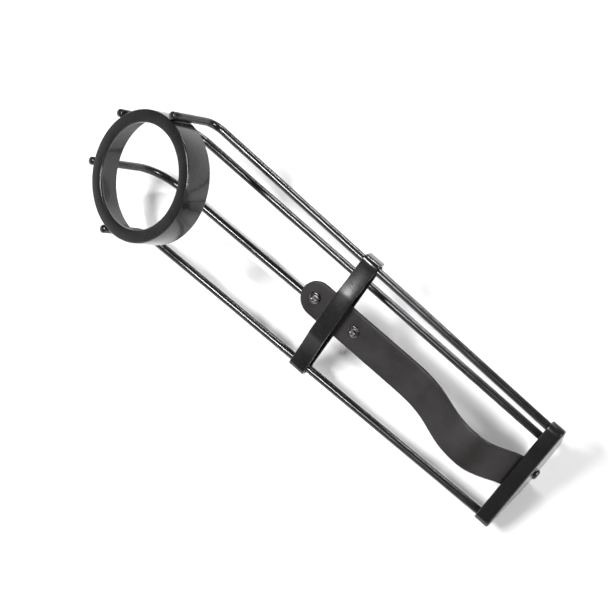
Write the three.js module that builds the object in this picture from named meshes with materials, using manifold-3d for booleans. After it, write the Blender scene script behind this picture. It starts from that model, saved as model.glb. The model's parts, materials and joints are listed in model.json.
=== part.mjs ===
// One wire rack frame: a ring with a flanged mouth, four bent rods, an end
// tray and a leather strap with eyelets that threads through a keeper.
//
// The rack is modelled standing on its end tray: the leg runs up the local Z
// axis, the front of the leg faces local -Y and its width lies along local X.
// The finished rack is then laid down on its side, the way it rests.

import * as THREE from 'three';
import { mergeVertices } from 'three/addons/utils/BufferGeometryUtils.js';
import Module from 'manifold-3d';

// ---------------------------------------------------------------- dimensions

const CLEARANCE = 0.3;            // gap kept between pieces that touch

const RING_DIAMETER = 100;        // outside of the ring band
const RING_WALL = 3;
const RING_DEPTH = 24;            // length of the band along its own axis
const FLANGE_WIDTH = 7;           // how far the lip reaches inside the band
const FLANGE_THICKNESS = 3;

const ROD_DIAMETER = 6.4;
const BEND_ANGLE = 74;            // degrees between the cage and the leg line
const FRONT_CAGE_LENGTH = 47;     // ring mouth to the corner of a front rod
const FRONT_BEND_RADIUS = 13;
const BACK_BEND_RADIUS = 32;
const FRONT_ROD_ANGLE = 86;       // place of a front rod round the ring
const BACK_ROD_ANGLE = 25;        // place of a back rod round the ring

const LEG_LENGTH = 345;           // tray floor to the corner of a front rod
const LEG_DEPTH = 40;             // front rod centres to back rod centres
const FRONT_FOOT_SPACING = 84;    // front rod centres at the tray
const BACK_FOOT_SPACING = 34;     // back rod centres at the tray

const TRAY_HEIGHT = 12;
const TRAY_WALL = 2;

const STRAP_WIDTH = 28;
const STRAP_THICKNESS = 2.6;
const STRAP_TIP = 214;            // height of the free end above the tray floor
const STRAP_SPLIT = 112;          // height where the sliding tongue begins
const LOOP_BULGE = 27;            // how far the slack loop stands off the leg
const LOOP_BULGE_HEIGHT = 42;     // height of its furthest point
const LOOP_START = 9;             // where the strap leaves the tray floor, from the screw
const LOOP_FLOOR_REACH = 8;       // how far it keeps level there
const LOOP_RIM_SLOPE = 48;        // degrees off the tray floor as it passes the rim
const LOOP_RIM_REACH_IN = 6;      // handle before the rim
const LOOP_RIM_REACH_OUT = 10;    // handle past the rim
const LOOP_BULGE_REACH_IN = 12;   // handle below the bulge
const LOOP_BULGE_REACH_OUT = 30;  // handle above the bulge
const LOOP_RETURN_REACH = 38;     // how far it runs straight into the tongue
const STRAP_TAIL = 12;            // strap end past the screw

const KEEPER_HEIGHT = 182;        // middle of the keeper above the tray floor
const KEEPER_WIDTH = 14;
const KEEPER_THICKNESS = 2;
const KEEPER_HOLE_DIAMETER = 4.5;
const KEEPER_BOW = 4;             // how far the bridge bows forward
const KEEPER_INSIDE_BEND = 2;     // inner radius of the bridge's two bends
const KEEPER_SHOULDER = 0.72;     // where the bow begins, as a share of half the width

const EYELET_COUNT = 3;
const EYELET_PITCH = 19.5;
const EYELET_TIP_MARGIN = 12;     // first eyelet to the strap tip
const EYELET_HOLE_DIAMETER = 4.6;
const EYELET_BARREL_WALL = 0.7;
const EYELET_FLANGE_DIAMETER = 9.6;
const EYELET_FLANGE_THICKNESS = 0.9;
const EYELET_EDGE_ROUNDING = 0.3; // how far the flange's edge leans in
const EYELET_CROWN_SETBACK = 1;   // flange edge to its crown
const EYELET_MOUTH_ROUNDING = 0.4;

const SCREW_DIAMETER = 4;
const SCREW_HEAD_DIAMETER = 8;
const SCREW_HEAD_HEIGHT = 2.8;
const SCREW_SOCKET_DIAMETER = 2.9;
const SCREW_SOCKET_DEPTH = 1.6;
const SCREW_TIP_LENGTH = 1.5;     // thread that shows past the nut
const SCREW_TIP_CHAMFER = 0.6;
const SCREW_CROWN_SHARE = 0.55;   // flat top of the head as a share of its radius
const SCREW_SIDE_SHARE = 0.85;    // how full the rounding of the head is
const NUT_ACROSS_FLATS = 7;
const NUT_HEIGHT = 3.2;
const WASHER_DIAMETER = 9;
const WASHER_THICKNESS = 0.8;

// ----------------------------------------------------------- worked-out values

const rodRadius = ROD_DIAMETER / 2;
const ringRadius = RING_DIAMETER / 2;
const bend = THREE.MathUtils.degToRad(BEND_ANGLE);
const halfDepth = LEG_DEPTH / 2;
const rodCircle = ringRadius + rodRadius + CLEARANCE;
const rodFoot = CLEARANCE;

// The mouth axis points out of the ring; the ring's outer side is away from the leg.
const mouthAxis = new THREE.Vector3(0, -Math.sin(bend), Math.cos(bend));
const outerAxis = new THREE.Vector3(0, Math.cos(bend), Math.sin(bend));
const widthAxis = new THREE.Vector3(1, 0, 0);

const frontOffset = rodCircle * Math.cos(THREE.MathUtils.degToRad(FRONT_ROD_ANGLE));
const backOffset = rodCircle * Math.cos(THREE.MathUtils.degToRad(BACK_ROD_ANGLE));
const frontCorner = new THREE.Vector3(0, -halfDepth, LEG_LENGTH);
const mouthCentre = frontCorner.clone()
  .addScaledVector(mouthAxis, FRONT_CAGE_LENGTH)
  .addScaledVector(outerAxis, -frontOffset);
// Distance behind the mouth at which a back rod meets the back plane of the leg.
const backCageLength = (halfDepth - mouthCentre.y - backOffset * outerAxis.y)
  / -mouthAxis.y;

const blackPaint = { color: 0x101012, roughness: 0.28, metalness: 0.55 };
const blackLeather = { color: 0x17151a, roughness: 0.5, metalness: 0 };
const darkSteel = { color: 0x2b2b2e, roughness: 0.35, metalness: 0.9 };

const manifoldLibrary = await Module();
manifoldLibrary.setup();

// --------------------------------------------------------------------- helpers

function toManifold(geometry) {
  const bare = geometry.clone();
  bare.deleteAttribute('normal');
  bare.deleteAttribute('uv');
  const merged = mergeVertices(bare, 1e-4);
  return new manifoldLibrary.Manifold(new manifoldLibrary.Mesh({
    numProp: 3,
    vertProperties: new Float32Array(merged.attributes.position.array),
    triVerts: new Uint32Array(merged.index.array),
  }));
}

function fromManifold(solid) {
  const result = solid.getMesh();
  const geometry = new THREE.BufferGeometry();
  geometry.setAttribute('position', new THREE.BufferAttribute(result.vertProperties, 3));
  geometry.setIndex(new THREE.BufferAttribute(result.triVerts, 1));
  geometry.computeVertexNormals();
  return geometry;
}

function subtract(geometry, ...cutters) {
  let solid = toManifold(geometry);
  for (const cutter of cutters) {
    solid = solid.subtract(toManifold(cutter));
  }
  return fromManifold(solid);
}

function mesh(name, geometry, look) {
  const result = new THREE.Mesh(geometry, new THREE.MeshStandardMaterial(look));
  result.name = name;
  return result;
}

// A round tube section (or solid disc when inner is 0) turned about Z.
function turned(outer, inner, bottom, top, segments = 32) {
  const profile = [
    new THREE.Vector2(inner, bottom),
    new THREE.Vector2(outer, bottom),
    new THREE.Vector2(outer, top),
    new THREE.Vector2(inner, top),
  ];
  if (inner > 0) {
    profile.push(profile[0].clone());
  }
  const geometry = new THREE.LatheGeometry(profile, segments);
  geometry.rotateX(Math.PI / 2);
  return geometry;
}

// A closed outline whose corners are rounded to one radius.
function roundedOutline(corners, radius) {
  const shape = new THREE.Shape();
  corners.forEach((corner, index) => {
    const before = corners[(index + corners.length - 1) % corners.length];
    const after = corners[(index + 1) % corners.length];
    const towardsBefore = before.clone().sub(corner).normalize();
    const towardsAfter = after.clone().sub(corner).normalize();
    const halfAngle = Math.acos(towardsBefore.dot(towardsAfter)) / 2;
    const setback = radius / Math.tan(halfAngle);
    const start = corner.clone().addScaledVector(towardsBefore, setback);
    const centre = corner.clone().addScaledVector(
      towardsBefore.clone().add(towardsAfter).normalize(), radius / Math.sin(halfAngle));
    const end = corner.clone().addScaledVector(towardsAfter, setback);
    const startAngle = Math.atan2(start.y - centre.y, start.x - centre.x);
    const endAngle = Math.atan2(end.y - centre.y, end.x - centre.x);
    if (index === 0) {
      shape.moveTo(start.x, start.y);
    } else {
      shape.lineTo(start.x, start.y);
    }
    shape.absarc(centre.x, centre.y, radius, startAngle, endAngle, false);
  });
  shape.closePath();
  return shape;
}

function extrude(shape, bottom, top, curveSegments = 6) {
  const geometry = new THREE.ExtrudeGeometry(shape, {
    depth: top - bottom, bevelEnabled: false, curveSegments,
  });
  geometry.translate(0, 0, bottom);
  return geometry;
}

// A path through given stations; a swept section gets one ring at each of them.
class StationPath extends THREE.Curve {
  constructor(points) {
    super();
    this.points = points;
  }

  getPoint(t, target = new THREE.Vector3()) {
    const place = t * (this.points.length - 1);
    const index = Math.min(Math.floor(place), this.points.length - 2);
    return target.copy(this.points[index]).lerp(this.points[index + 1], place - index);
  }

  getTangent(t, target = new THREE.Vector3()) {
    const last = this.points.length - 1;
    const index = Math.round(t * last);
    const before = this.points[Math.max(index - 1, 0)];
    const here = this.points[index];
    const after = this.points[Math.min(index + 1, last)];
    const arriving = here.clone().sub(before).normalize();
    const leaving = after.clone().sub(here).normalize();
    return target.copy(arriving.add(leaving)).normalize();
  }

  getUtoTmapping(u) {
    return u;
  }
}

// Stations along two straight legs joined by a circular bend at the corner.
function bentStations(start, corner, end, radius, bendSteps) {
  const back = start.clone().sub(corner).normalize();
  const forward = end.clone().sub(corner).normalize();
  const halfAngle = back.angleTo(forward) / 2;
  const setback = radius / Math.tan(halfAngle);
  const centre = corner.clone().addScaledVector(
    back.clone().add(forward).normalize(), radius / Math.sin(halfAngle));
  const first = corner.clone().addScaledVector(back, setback).sub(centre);
  const last = corner.clone().addScaledVector(forward, setback).sub(centre);
  const normal = first.clone().cross(last).normalize();
  const sweep = Math.PI - 2 * halfAngle;
  const stations = [start];
  for (let step = 0; step <= bendSteps; step += 1) {
    const turn = first.clone().applyAxisAngle(normal, sweep * step / bendSteps);
    stations.push(centre.clone().add(turn));
  }
  stations.push(end);
  return stations;
}

// ------------------------------------------------------------------- the ring

function placeOnMouth(geometry) {
  const basis = new THREE.Matrix4().makeBasis(
    widthAxis, mouthAxis.clone().cross(widthAxis), mouthAxis);
  basis.setPosition(mouthCentre);
  return geometry.applyMatrix4(basis);
}

function ringBand() {
  const band = turned(
    ringRadius, ringRadius - RING_WALL, -RING_DEPTH, -FLANGE_THICKNESS - CLEARANCE, 64);
  return mesh('ring_band', placeOnMouth(band), blackPaint);
}

function ringFlange() {
  const inner = ringRadius - RING_WALL - FLANGE_WIDTH;
  const flange = turned(ringRadius, inner, -FLANGE_THICKNESS, 0, 64);
  return mesh('ring_flange', placeOnMouth(flange), blackPaint);
}

// -------------------------------------------------------------------- the rods

// side is -1 or 1 along the width; a front rod runs down the front of the leg.
function rodStations(side, isFront) {
  const angle = THREE.MathUtils.degToRad(isFront ? FRONT_ROD_ANGLE : BACK_ROD_ANGLE);
  const start = mouthCentre.clone()
    .addScaledVector(outerAxis, rodCircle * Math.cos(angle))
    .addScaledVector(widthAxis, side * rodCircle * Math.sin(angle));
  const cageLength = isFront ? FRONT_CAGE_LENGTH : backCageLength;
  const corner = start.clone().addScaledVector(mouthAxis, -cageLength);
  const spacing = isFront ? FRONT_FOOT_SPACING : BACK_FOOT_SPACING;
  const end = new THREE.Vector3(
    side * spacing / 2, isFront ? -halfDepth : halfDepth, rodFoot);
  const radius = isFront ? FRONT_BEND_RADIUS : BACK_BEND_RADIUS;
  return bentStations(start, corner, end, radius, isFront ? 7 : 10);
}

function rod(name, side, isFront) {
  const section = new THREE.Shape();
  section.absarc(0, 0, rodRadius, 0, 2 * Math.PI, false);
  const stations = rodStations(side, isFront);
  const geometry = new THREE.ExtrudeGeometry(section, {
    steps: stations.length - 1,
    curveSegments: 16,
    extrudePath: new StationPath(stations),
  });
  return mesh(name, geometry, blackPaint);
}

// Half the width between a pair of rod centres at a height on the leg.
function halfSpacing(ringAngle, footSpacing, height) {
  const atCorner = rodCircle * Math.sin(THREE.MathUtils.degToRad(ringAngle));
  const atFoot = footSpacing / 2;
  return atFoot + (atCorner - atFoot) * height / LEG_LENGTH;
}

function frontHalfSpacing(height) {
  return halfSpacing(FRONT_ROD_ANGLE, FRONT_FOOT_SPACING, height);
}

function backHalfSpacing(height) {
  return halfSpacing(BACK_ROD_ANGLE, BACK_FOOT_SPACING, height);
}

// ------------------------------------------------------------------- the tray

// The tray's outline stands off the rod feet by the same margin all round.
function trayOutline(margin) {
  const front = FRONT_FOOT_SPACING / 2;
  const back = BACK_FOOT_SPACING / 2;
  const slope = Math.hypot(front - back, LEG_DEPTH);
  const lean = (slope + (front - back)) / LEG_DEPTH;
  const corners = [
    new THREE.Vector2(-front - margin * lean, -halfDepth - margin),
    new THREE.Vector2(front + margin * lean, -halfDepth - margin),
    new THREE.Vector2(back + margin / lean, halfDepth + margin),
    new THREE.Vector2(-back - margin / lean, halfDepth + margin),
  ];
  return roundedOutline(corners, margin);
}

const traySplay = Math.max(
  Math.abs(frontHalfSpacing(TRAY_HEIGHT) - frontHalfSpacing(0)),
  Math.abs(backHalfSpacing(TRAY_HEIGHT) - backHalfSpacing(0)));
const trayInside = rodRadius + CLEARANCE + traySplay;

function endTray() {
  const outline = trayOutline(trayInside + TRAY_WALL);
  const hollow = trayOutline(trayInside);
  const body = extrude(outline, -TRAY_WALL, TRAY_HEIGHT - TRAY_WALL);
  const pocket = extrude(hollow, 0, TRAY_HEIGHT);
  const bore = turned(SCREW_DIAMETER / 2 + CLEARANCE, 0, -2 * TRAY_WALL, TRAY_WALL);
  return mesh('end_tray', subtract(body, pocket, bore), blackPaint);
}

// ------------------------------------------------------------------- the screw

function hexNut(height) {
  const corner = NUT_ACROSS_FLATS / Math.sqrt(3);
  const points = [];
  for (let index = 0; index < 6; index += 1) {
    const angle = index * Math.PI / 3;
    points.push(new THREE.Vector2(corner * Math.cos(angle), corner * Math.sin(angle)));
  }
  const body = extrude(new THREE.Shape(points), 0, height);
  return subtract(body, turned(SCREW_DIAMETER / 2 + CLEARANCE, 0, -1, height + 1, 24));
}

function screwStack() {
  const radius = SCREW_DIAMETER / 2;
  const bore = radius + CLEARANCE;
  const headTop = -TRAY_WALL - CLEARANCE;
  const washerBottom = CLEARANCE + STRAP_THICKNESS + CLEARANCE;
  const washerTop = washerBottom + WASHER_THICKNESS;
  const nutBottom = washerTop + CLEARANCE;
  const shankTop = nutBottom + NUT_HEIGHT + SCREW_TIP_LENGTH;

  const headRadius = SCREW_HEAD_DIAMETER / 2;
  const profile = new THREE.Path();
  profile.moveTo(0, headTop - SCREW_HEAD_HEIGHT);
  profile.lineTo(headRadius * SCREW_CROWN_SHARE, headTop - SCREW_HEAD_HEIGHT);
  profile.quadraticCurveTo(
    headRadius, headTop - SCREW_HEAD_HEIGHT * SCREW_SIDE_SHARE, headRadius, headTop);
  profile.lineTo(radius, headTop);
  profile.lineTo(radius, shankTop - SCREW_TIP_CHAMFER);
  profile.lineTo(radius - SCREW_TIP_CHAMFER, shankTop);
  profile.lineTo(0, shankTop);
  const screw = new THREE.LatheGeometry(profile.getPoints(5), 28);
  screw.rotateX(Math.PI / 2);
  const socket = new THREE.CylinderGeometry(
    SCREW_SOCKET_DIAMETER / 2, SCREW_SOCKET_DIAMETER / 2, 2 * SCREW_SOCKET_DEPTH, 6);
  socket.rotateX(Math.PI / 2);
  socket.translate(0, 0, headTop - SCREW_HEAD_HEIGHT);

  const nut = hexNut(NUT_HEIGHT);
  nut.translate(0, 0, nutBottom);
  const washer = turned(WASHER_DIAMETER / 2, bore, washerBottom, washerTop);
  return [
    mesh('strap_screw', subtract(screw, socket), darkSteel),
    mesh('strap_washer', washer, darkSteel),
    mesh('strap_nut', nut, darkSteel),
  ];
}

// ------------------------------------------------------------------- the strap

const strapOnFloor = CLEARANCE + STRAP_THICKNESS / 2;
const rimHeight = TRAY_HEIGHT - TRAY_WALL;

// The slack loop, seen from the side: up off the tray floor, over the front rim,
// out to its bulge and back to the plane of the front rods. x holds the depth
// and y the height.
function loopCentreLine() {
  const slope = THREE.MathUtils.degToRad(LOOP_RIM_SLOPE);
  const rising = new THREE.Vector2(-Math.cos(slope), Math.sin(slope));
  const start = new THREE.Vector2(-LOOP_START, strapOnFloor);
  const overRim = new THREE.Vector2(
    -halfDepth - trayInside - TRAY_WALL / 2,
    rimHeight + CLEARANCE + STRAP_THICKNESS / 2 / Math.cos(slope)
      + TRAY_WALL / 2 * Math.tan(slope));
  const bulge = new THREE.Vector2(-halfDepth - LOOP_BULGE, LOOP_BULGE_HEIGHT);
  const end = new THREE.Vector2(-halfDepth, STRAP_SPLIT);
  const path = new THREE.CurvePath();
  path.add(new THREE.CubicBezierCurve(
    start,
    new THREE.Vector2(start.x - LOOP_FLOOR_REACH, start.y),
    overRim.clone().addScaledVector(rising, -LOOP_RIM_REACH_IN),
    overRim));
  path.add(new THREE.CubicBezierCurve(
    overRim,
    overRim.clone().addScaledVector(rising, LOOP_RIM_REACH_OUT),
    new THREE.Vector2(bulge.x, bulge.y - LOOP_BULGE_REACH_IN),
    bulge));
  path.add(new THREE.CubicBezierCurve(
    bulge,
    new THREE.Vector2(bulge.x, bulge.y + LOOP_BULGE_REACH_OUT),
    new THREE.Vector2(end.x, end.y - LOOP_RETURN_REACH),
    end));
  return path.getSpacedPoints(36);
}

// A band of even thickness whose side view follows the given centre line.
function bandAlong(line) {
  const near = [];
  const far = [];
  line.forEach((point, index) => {
    const before = line[Math.max(index - 1, 0)];
    const after = line[Math.min(index + 1, line.length - 1)];
    const along = after.clone().sub(before).normalize();
    const across = new THREE.Vector2(-along.y, along.x).multiplyScalar(STRAP_THICKNESS / 2);
    near.push(point.clone().add(across));
    far.push(point.clone().sub(across));
  });
  const outline = new THREE.Shape([...near, ...far.reverse()]);
  const geometry = new THREE.ExtrudeGeometry(outline, {
    depth: STRAP_WIDTH, bevelEnabled: false, steps: 1,
  });
  geometry.translate(0, 0, -STRAP_WIDTH / 2);
  // Side view (x, y) becomes (depth, height) and the extrusion the width.
  return geometry.applyMatrix4(new THREE.Matrix4().makeBasis(
    new THREE.Vector3(0, 1, 0), new THREE.Vector3(0, 0, 1), new THREE.Vector3(1, 0, 0)));
}

function strapRoot() {
  const line = [
    new THREE.Vector2(-LOOP_START + CLEARANCE, strapOnFloor),
    new THREE.Vector2(STRAP_TAIL, strapOnFloor),
  ];
  const bore = turned(
    SCREW_DIAMETER / 2 + CLEARANCE, 0,
    strapOnFloor - STRAP_THICKNESS, strapOnFloor + STRAP_THICKNESS, 24);
  return mesh('strap_root', subtract(bandAlong(line), bore), blackLeather);
}

function strapLoop() {
  return mesh('strap_loop', bandAlong(loopCentreLine()), blackLeather);
}

const eyeletBarrelRadius = EYELET_HOLE_DIAMETER / 2 + EYELET_BARREL_WALL;

function eyeletHeight(index) {
  return STRAP_TIP - EYELET_TIP_MARGIN - index * EYELET_PITCH;
}

// The tongue is the flat free end, cut from a sheet with its eyelet holes.
function strapTongue() {
  const half = STRAP_WIDTH / 2;
  const shape = new THREE.Shape();
  const bottom = STRAP_SPLIT + CLEARANCE;
  shape.moveTo(-half, bottom);
  shape.lineTo(half, bottom);
  shape.lineTo(half, STRAP_TIP - half);
  shape.absarc(0, STRAP_TIP - half, half, 0, Math.PI, false);
  shape.closePath();
  for (let index = 0; index < EYELET_COUNT; index += 1) {
    const hole = new THREE.Path();
    hole.absarc(
      0, eyeletHeight(index), eyeletBarrelRadius + CLEARANCE, 0, 2 * Math.PI, true);
    shape.holes.push(hole);
  }
  const geometry = new THREE.ExtrudeGeometry(shape, {
    depth: STRAP_THICKNESS, bevelEnabled: false, curveSegments: 12,
  });
  geometry.rotateX(Math.PI / 2);
  geometry.translate(0, -halfDepth + STRAP_THICKNESS / 2, 0);
  return mesh('strap_tongue', geometry, blackLeather);
}

// An eyelet is turned about its own axis with its flange in front, then set
// through the tongue; its back ring sits on the other face.
function eyelet(index) {
  const inner = EYELET_HOLE_DIAMETER / 2;
  const outer = EYELET_FLANGE_DIAMETER / 2;
  const front = STRAP_THICKNESS / 2 + CLEARANCE;
  const tail = -front - EYELET_FLANGE_THICKNESS;
  const profile = [
    new THREE.Vector2(inner, tail),
    new THREE.Vector2(eyeletBarrelRadius, tail),
    new THREE.Vector2(eyeletBarrelRadius, front),
    new THREE.Vector2(outer, front),
    new THREE.Vector2(
      outer - EYELET_EDGE_ROUNDING, front + EYELET_FLANGE_THICKNESS * 0.7),
    new THREE.Vector2(outer - EYELET_CROWN_SETBACK, front + EYELET_FLANGE_THICKNESS),
    new THREE.Vector2(inner + EYELET_MOUTH_ROUNDING, front + EYELET_FLANGE_THICKNESS),
    new THREE.Vector2(inner, front + EYELET_FLANGE_THICKNESS * 0.6),
    new THREE.Vector2(inner, tail),
  ];
  const barrel = new THREE.LatheGeometry(profile, 24);
  const back = new THREE.LatheGeometry([
    new THREE.Vector2(eyeletBarrelRadius + CLEARANCE, tail),
    new THREE.Vector2(outer, tail),
    new THREE.Vector2(outer, -front),
    new THREE.Vector2(eyeletBarrelRadius + CLEARANCE, -front),
    new THREE.Vector2(eyeletBarrelRadius + CLEARANCE, tail),
  ], 24);
  for (const geometry of [barrel, back]) {
    geometry.rotateZ(Math.PI);
    geometry.translate(0, -halfDepth, eyeletHeight(index));
  }
  return [
    mesh(`eyelet_${index + 1}`, barrel, darkSteel),
    mesh(`eyelet_ring_${index + 1}`, back, darkSteel),
  ];
}

// ------------------------------------------------------------------ the keeper

const keeperTop = KEEPER_HEIGHT + KEEPER_WIDTH / 2;
const keeperInside = frontHalfSpacing(keeperTop) + rodRadius + CLEARANCE;
const keeperOutside = keeperInside + KEEPER_THICKNESS;
const keeperBackFace = -halfDepth + rodRadius + CLEARANCE;
const keeperEnd = keeperBackFace + KEEPER_THICKNESS;

// The front strip bows forward over the strap and turns back outside the rods.
function keeperBridge() {
  const face = -halfDepth - rodRadius - CLEARANCE;
  const bow = KEEPER_BOW;
  const inner = KEEPER_INSIDE_BEND;
  const outer = KEEPER_THICKNESS + inner;
  const flat = KEEPER_SHOULDER * keeperInside;
  const shape = new THREE.Shape();
  shape.moveTo(-keeperOutside, keeperEnd);
  shape.lineTo(-keeperOutside, face - KEEPER_THICKNESS + outer);
  shape.absarc(-keeperOutside + outer, face - KEEPER_THICKNESS + outer, outer,
    Math.PI, 1.5 * Math.PI, false);
  shape.quadraticCurveTo(
    -flat, face - KEEPER_THICKNESS, -flat / 2, face - KEEPER_THICKNESS - bow);
  shape.lineTo(flat / 2, face - KEEPER_THICKNESS - bow);
  shape.quadraticCurveTo(
    flat, face - KEEPER_THICKNESS, keeperOutside - outer, face - KEEPER_THICKNESS);
  shape.absarc(keeperOutside - outer, face - KEEPER_THICKNESS + outer, outer,
    1.5 * Math.PI, 2 * Math.PI, false);
  shape.lineTo(keeperOutside, keeperEnd);
  shape.lineTo(keeperInside, keeperEnd);
  shape.lineTo(keeperInside, face + inner);
  shape.absarc(keeperInside - inner, face + inner, inner, 0, -0.5 * Math.PI, true);
  shape.quadraticCurveTo(flat, face, flat / 2, face - bow);
  shape.lineTo(-flat / 2, face - bow);
  shape.quadraticCurveTo(-flat, face, -keeperInside + inner, face);
  shape.absarc(-keeperInside + inner, face + inner, inner, 1.5 * Math.PI, Math.PI, true);
  shape.lineTo(-keeperInside, keeperEnd);
  shape.closePath();
  const geometry = extrude(shape, KEEPER_HEIGHT - KEEPER_WIDTH / 2, keeperTop, 8);
  return mesh('keeper_bridge', geometry, blackPaint);
}

function keeperPlate() {
  const half = keeperInside - CLEARANCE;
  const plate = new THREE.BoxGeometry(2 * half, KEEPER_THICKNESS, KEEPER_WIDTH);
  plate.translate(0, keeperBackFace + KEEPER_THICKNESS / 2, KEEPER_HEIGHT);
  const hole = new THREE.CylinderGeometry(
    KEEPER_HOLE_DIAMETER / 2, KEEPER_HOLE_DIAMETER / 2, 4 * KEEPER_THICKNESS, 20);
  hole.translate(0, keeperBackFace, KEEPER_HEIGHT);
  return mesh('keeper_plate', subtract(plate, hole), blackPaint);
}

// -------------------------------------------------------------------- assembly

const rack = new THREE.Group();
rack.add(
  ringBand(),
  ringFlange(),
  rod('front_rod_left', -1, true),
  rod('front_rod_right', 1, true),
  rod('back_rod_left', -1, false),
  rod('back_rod_right', 1, false),
  endTray(),
  ...screwStack(),
  strapRoot(),
  strapLoop(),
  strapTongue(),
  keeperBridge(),
  keeperPlate(),
);
for (let index = 0; index < EYELET_COUNT; index += 1) {
  rack.add(...eyelet(index));
}

// The direction, in the standing rack, that faces the floor once it is laid
// down: it rests on the left edge of its tray, its keeper and a back rod's bend.
function restingDirection() {
  const stations = rodStations(-1, false);
  const bendEnd = stations[stations.length - 2];
  const trayFoot = new THREE.Vector3(-BACK_FOOT_SPACING / 2, halfDepth, -TRAY_WALL);
  const keeperCorner = new THREE.Vector3(-keeperOutside, keeperEnd, keeperTop);
  const down = new THREE.Vector3(-0.8, 0.6, 0);
  for (let pass = 0; pass < 4; pass += 1) {
    const onTray = trayFoot.clone().addScaledVector(down, trayInside + TRAY_WALL);
    const alongBend = bendEnd.clone().addScaledVector(down, rodRadius).sub(onTray);
    const alongKeeper = keeperCorner.clone().sub(onTray);
    down.crossVectors(alongBend, alongKeeper).normalize();
  }
  return down.x < 0 ? down : down.negate();
}

// Laid down with the ring end towards -X, and the mouth turned towards -Y.
const up = restingDirection().negate();
const alongLeg = new THREE.Vector3(0, 0, -1);
alongLeg.addScaledVector(up, -alongLeg.dot(up)).normalize();
const laid = new THREE.Matrix4()
  .makeBasis(alongLeg, up.clone().cross(alongLeg), up)
  .transpose();
rack.setRotationFromMatrix(laid);

// The origin is on the floor, under the middle of the laid rack.
const laidRack = new THREE.Group();
laidRack.add(rack);
laidRack.updateMatrixWorld(true);
const bounds = new THREE.Box3().setFromObject(laidRack, true);
const middle = bounds.getCenter(new THREE.Vector3());
rack.position.set(-middle.x, -middle.y, -bounds.min.z);

export default laidRack;
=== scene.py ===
"""A wire rack frame: a lipped ring, four bent rods, an end tray and a leather strap.

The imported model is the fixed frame. Every piece is made in the standing rack's own
axes, width along X, depth along Y and the leg up Z, and is then laid where the frame is.
"""

import json
import math

import bmesh
import bpy
from mathutils import Matrix, Vector, noise


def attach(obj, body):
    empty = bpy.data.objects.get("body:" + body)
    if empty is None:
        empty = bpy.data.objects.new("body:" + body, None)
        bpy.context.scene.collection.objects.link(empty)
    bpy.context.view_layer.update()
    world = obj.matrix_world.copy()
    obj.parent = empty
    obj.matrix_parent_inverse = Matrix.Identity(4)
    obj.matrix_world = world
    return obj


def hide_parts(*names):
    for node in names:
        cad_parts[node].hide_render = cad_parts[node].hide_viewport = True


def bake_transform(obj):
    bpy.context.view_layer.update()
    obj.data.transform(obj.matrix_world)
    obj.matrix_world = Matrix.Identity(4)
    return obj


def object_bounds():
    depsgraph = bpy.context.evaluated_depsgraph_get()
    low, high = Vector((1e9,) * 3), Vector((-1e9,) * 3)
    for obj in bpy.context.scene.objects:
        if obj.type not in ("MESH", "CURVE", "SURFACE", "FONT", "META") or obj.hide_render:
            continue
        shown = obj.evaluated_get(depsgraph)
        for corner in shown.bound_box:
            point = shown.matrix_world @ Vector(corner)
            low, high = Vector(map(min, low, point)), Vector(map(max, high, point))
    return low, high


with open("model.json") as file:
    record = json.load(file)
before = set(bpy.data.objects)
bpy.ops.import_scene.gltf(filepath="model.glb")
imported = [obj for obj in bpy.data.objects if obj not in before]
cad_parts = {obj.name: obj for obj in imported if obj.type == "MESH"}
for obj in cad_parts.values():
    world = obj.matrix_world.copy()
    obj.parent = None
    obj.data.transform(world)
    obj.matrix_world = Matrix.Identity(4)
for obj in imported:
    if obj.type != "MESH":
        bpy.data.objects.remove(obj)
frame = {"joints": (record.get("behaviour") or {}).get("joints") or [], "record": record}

bl_info = {
    "name": "Wire rack frame",
    "version": (1, 0, 0),
    "blender": (4, 5, 0),
    "location": "View3D > Sidebar > Rack",
    "description": "Builds a painted wire rack frame with its leather strap",
    "category": "Add Mesh",
}

CAD_BOX = [list(corner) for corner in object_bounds()]
FRAME_BODY = "rack_frame"
STRAP_BODY = "strap_end"

# ------------------------------------------------------------ sizes, in metres

CLEARANCE = 0.0003

RING_RADIUS = 0.050
RING_WALL = 0.003
RING_DEPTH = 0.024
LIP_WIDTH = 0.007
LIP_THICKNESS = 0.003

ROD_RADIUS = 0.0032
BEND_ANGLE = math.radians(74)
FRONT_CAGE_LENGTH = 0.047
FRONT_BEND_RADIUS = 0.013
BACK_BEND_RADIUS = 0.032
FRONT_ROD_ANGLE = math.radians(86)
BACK_ROD_ANGLE = math.radians(25)
LEG_LENGTH = 0.345
HALF_DEPTH = 0.020
FRONT_FOOT_SPACING = 0.084
BACK_FOOT_SPACING = 0.034

TRAY_HEIGHT = 0.012
TRAY_WALL = 0.002

STRAP_WIDTH = 0.028
STRAP_THICKNESS = 0.0026
STRAP_TIP = 0.214
STRAP_SPLIT = 0.112
LOOP_BULGE = 0.027
LOOP_BULGE_HEIGHT = 0.042
LOOP_START = 0.009
LOOP_FLOOR_REACH = 0.008
LOOP_RIM_SLOPE = math.radians(48)
LOOP_RIM_REACH_IN = 0.006
LOOP_RIM_REACH_OUT = 0.010
LOOP_BULGE_REACH_IN = 0.012
LOOP_BULGE_REACH_OUT = 0.030
LOOP_RETURN_REACH = 0.038
STRAP_TAIL = 0.012

KEEPER_HEIGHT = 0.182
KEEPER_WIDTH = 0.014
KEEPER_THICKNESS = 0.002
KEEPER_BOW = 0.004
KEEPER_HOLE_RADIUS = 0.00225

EYELET_COUNT = 3
EYELET_PITCH = 0.0195
EYELET_TIP_MARGIN = 0.012
EYELET_HOLE_RADIUS = 0.0023
EYELET_BARREL_WALL = 0.0007
EYELET_FLANGE_RADIUS = 0.0048
EYELET_FLANGE_THICKNESS = 0.0009

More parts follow.
